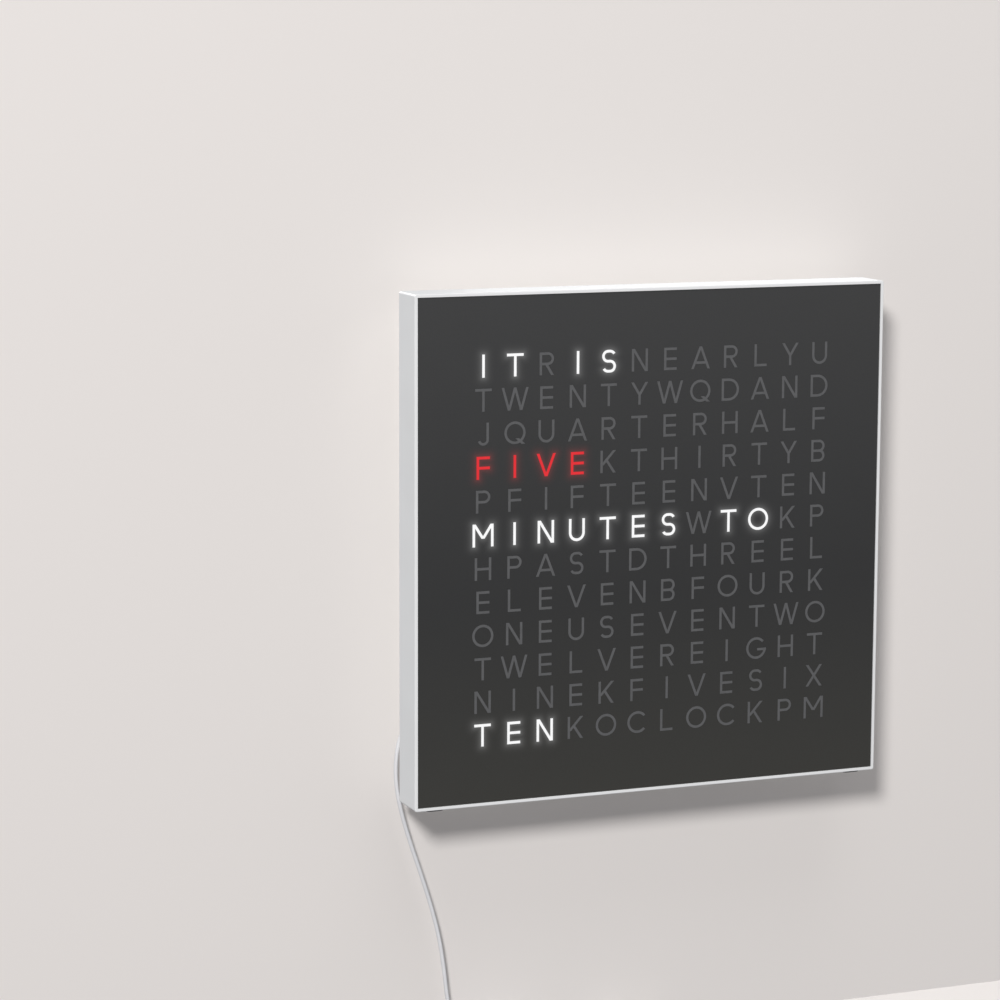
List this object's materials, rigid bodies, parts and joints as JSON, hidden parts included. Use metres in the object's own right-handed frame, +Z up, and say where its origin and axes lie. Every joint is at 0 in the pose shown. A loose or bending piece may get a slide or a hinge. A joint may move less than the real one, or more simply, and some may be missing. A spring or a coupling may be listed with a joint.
{
  "type": "word clock",
  "caption": "Square wall clock with a dark face of cut-out letters lit from behind to spell the time, in a thin white casing with a hanging power lead.",
  "frame": {"origin": "middle of the bay's flat rear face, which lies on the wall", "axes": "+Z up, the lit face looks to -Y, +X to the right of the face, +Y into the wall"},
  "size_m": [0.254, 0.0417, 0.389],
  "materials": {
    "casing_white": "satin moulded",
    "face_dark": "matte",
    "letter_grey": "matte translucent",
    "letter_white_lit": "lit white",
    "letter_red_lit": "lit red",
    "tape_grey": "foam tape",
    "diffuser_opal": "opal",
    "baffle_white": "matte",
    "board_white": "solder mask, satin",
    "board_green": "solder mask, satin",
    "light_package": "satin",
    "chip_black": "matte moulded",
    "tinned_metal": "tinned",
    "can_metal": "satin",
    "header_cream": "moulded",
    "ribbon_grey": "flat cable",
    "cover_white": "fine spark texture",
    "button_grey": "satin",
    "jack_black": "moulded",
    "contact_gold": "plated",
    "cell_steel": "brushed",
    "screw_steel": "zinc plated",
    "foot_rubber": "matte",
    "cord_grey": "satin",
    "plug_grey": "satin",
    "tie_black": "satin",
    "tongue_white": "moulded"
  },
  "bodies": {
    "clock": {"casing": "casing_white", "face_panel": "face_dark", "letter_centres": "face_dark", "letters_unlit": "letter_grey", "letters_white": "letter_white_lit", "letters_red": "letter_red_lit", "face_tape": "tape_grey", "diffuser": "diffuser_opal", "light_baffle": "baffle_white", "lights_board": "board_white", "light_packages": "light_package", "lights_board_screws": "screw_steel", "driver_chips": "chip_black", "driver_chip_legs": "tinned_metal", "ribbon_headers": "header_cream", "ribbon_cable": "ribbon_grey", "control_board": "board_green", "control_board_screws": "screw_steel", "control_chip": "chip_black", "control_chip_legs": "tinned_metal", "crystal": "can_metal", "capacitors": "can_metal", "switch_bodies": "chip_black", "cell_holder": "jack_black", "cell_base_contact": "tinned_metal", "coin_cell": "cell_steel", "cell_clip": "tinned_metal", "power_jack": "jack_black", "jack_pin": "contact_gold", "lead_plug_tip": "tinned_metal", "lead_plug_body": "plug_grey", "lead_strain_relief": "plug_grey", "rear_cover": "cover_white", "cover_screws": "screw_steel", "rubber_feet": "foot_rubber", "cord_hanging": "cord_grey", "cord_coil": "cord_grey", "cord_tail": "cord_grey", "cord_tie": "tie_black", "usb_strain_relief": "plug_grey", "usb_plug_body": "plug_grey", "usb_plug_shell": "tinned_metal", "usb_plug_tongue": "tongue_white", "usb_plug_contacts": "contact_gold"},
    "hour_button": {"hour_button": "button_grey", "hour_plunger": "jack_black"},
    "minute_button": {"minute_button": "button_grey", "minute_plunger": "jack_black"},
    "dimmer_button": {"dimmer_button": "button_grey", "dimmer_plunger": "jack_black"},
    "battery_door": {"battery_door": "cover_white"}
  },
  "joints": [
    {"name": "hour_button_press", "type": "slide", "parent": "clock", "child": "hour_button", "axis": [0, -1, 0], "range_m": [0, 0.0005], "stiffness_N_per_m": 400, "springref_m": -0.0005},
    {"name": "minute_button_press", "type": "slide", "parent": "clock", "child": "minute_button", "axis": [0, -1, 0], "range_m": [0, 0.0005], "stiffness_N_per_m": 400, "springref_m": -0.0005},
    {"name": "dimmer_button_press", "type": "slide", "parent": "clock", "child": "dimmer_button", "axis": [0, -1, 0], "range_m": [0, 0.0005], "stiffness_N_per_m": 400, "springref_m": -0.0005},
    {"name": "battery_door_slide", "type": "slide", "parent": "clock", "child": "battery_door", "axis": [1, 0, 0], "range_m": [0, 0.048]}
  ]
}
